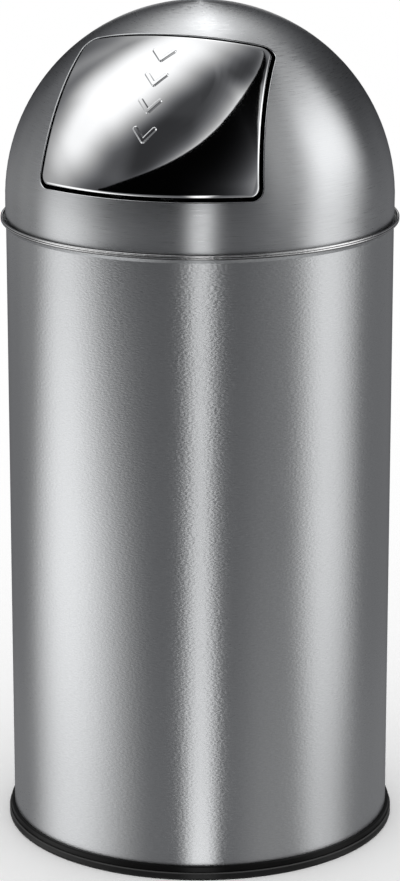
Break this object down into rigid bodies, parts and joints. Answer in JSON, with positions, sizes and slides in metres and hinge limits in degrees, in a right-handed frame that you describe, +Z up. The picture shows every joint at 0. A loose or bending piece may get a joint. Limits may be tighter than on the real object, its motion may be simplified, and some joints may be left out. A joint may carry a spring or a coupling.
{
  "type": "dome top waste receptacle",
  "caption": "Round steel waste bin with a lift-off dome lid, a sprung push flap in the dome, a black floor ring and a lift-out galvanised liner with a wire bail",
  "frame": {"origin": "centre of the floor ring's underside, on the floor", "axes": "+Z up, the push flap faces -Y, +X to the right as seen from the front"},
  "size_m": [0.3599, 0.36, 0.765],
  "materials": {
    "brushed_stainless": "stainless sheet with fine horizontal brushing",
    "mirror_stainless": "mirror-polished stainless",
    "ring_plastic": "black satin moulded plastic",
    "plate_steel": "plain mill-finish steel",
    "galvanised": "hot-dip galvanised with a faint spangle",
    "zinc_hardware": "bright zinc plate",
    "spring_steel": "oiled spring steel",
    "bush_nylon": "natural nylon",
    "buffer_rubber": "soft black rubber"
  },
  "bodies": {
    "body": {"base_ring": "ring_plastic", "body_shell": "brushed_stainless", "base_plate": "plate_steel", "base_screws": "zinc_hardware"},
    "liner": {"liner_bucket": "galvanised", "liner_bottom": "galvanised", "bail_ear_left": "galvanised", "bail_ear_right": "galvanised", "ear_rivets": "zinc_hardware"},
    "bail": {"bail_handle": "zinc_hardware"},
    "lid": {"dome_shell": "brushed_stainless", "lid_collar": "plate_steel", "hinge_bracket_left": "zinc_hardware", "hinge_bracket_right": "zinc_hardware", "bracket_studs": "zinc_hardware", "bracket_nuts": "zinc_hardware", "hinge_pin": "zinc_hardware", "pin_clips": "spring_steel", "return_spring_left": "spring_steel", "return_spring_right": "spring_steel"},
    "flap": {"flap_panel": "mirror_stainless", "flap_ear_left": "zinc_hardware", "flap_ear_right": "zinc_hardware", "hinge_bushes": "bush_nylon", "stop_lug_left": "zinc_hardware", "stop_lug_right": "zinc_hardware", "stop_buffers": "buffer_rubber"}
  },
  "joints": [
    {"name": "liner_lift", "type": "slide", "parent": "body", "child": "liner", "axis": [0, 0, 1], "range_m": [0, 0.57]},
    {"name": "lid_lift", "type": "slide", "parent": "body", "child": "lid", "axis": [0, 0, 1], "range_m": [0, 0.76]},
    {"name": "bail_swing", "type": "hinge", "parent": "liner", "child": "bail", "pos_m": [0, 0, 0.5434], "axis": [1, 0, 0], "range_deg": [0, 180]},
    {"name": "flap_swing", "type": "hinge", "parent": "lid", "child": "flap", "pos_m": [0, -0.07091, 0.72014], "axis": [1, 0, 0], "range_deg": [0, 70], "stiffness_Nm_per_rad": 0.3, "springref_deg": -57.3, "deforming": ["return_spring_left", "return_spring_right"]}
  ],
  "couplings": [
    {"joint": "lid_lift", "follows": "liner_lift", "ratio": 1.3333}
  ]
}
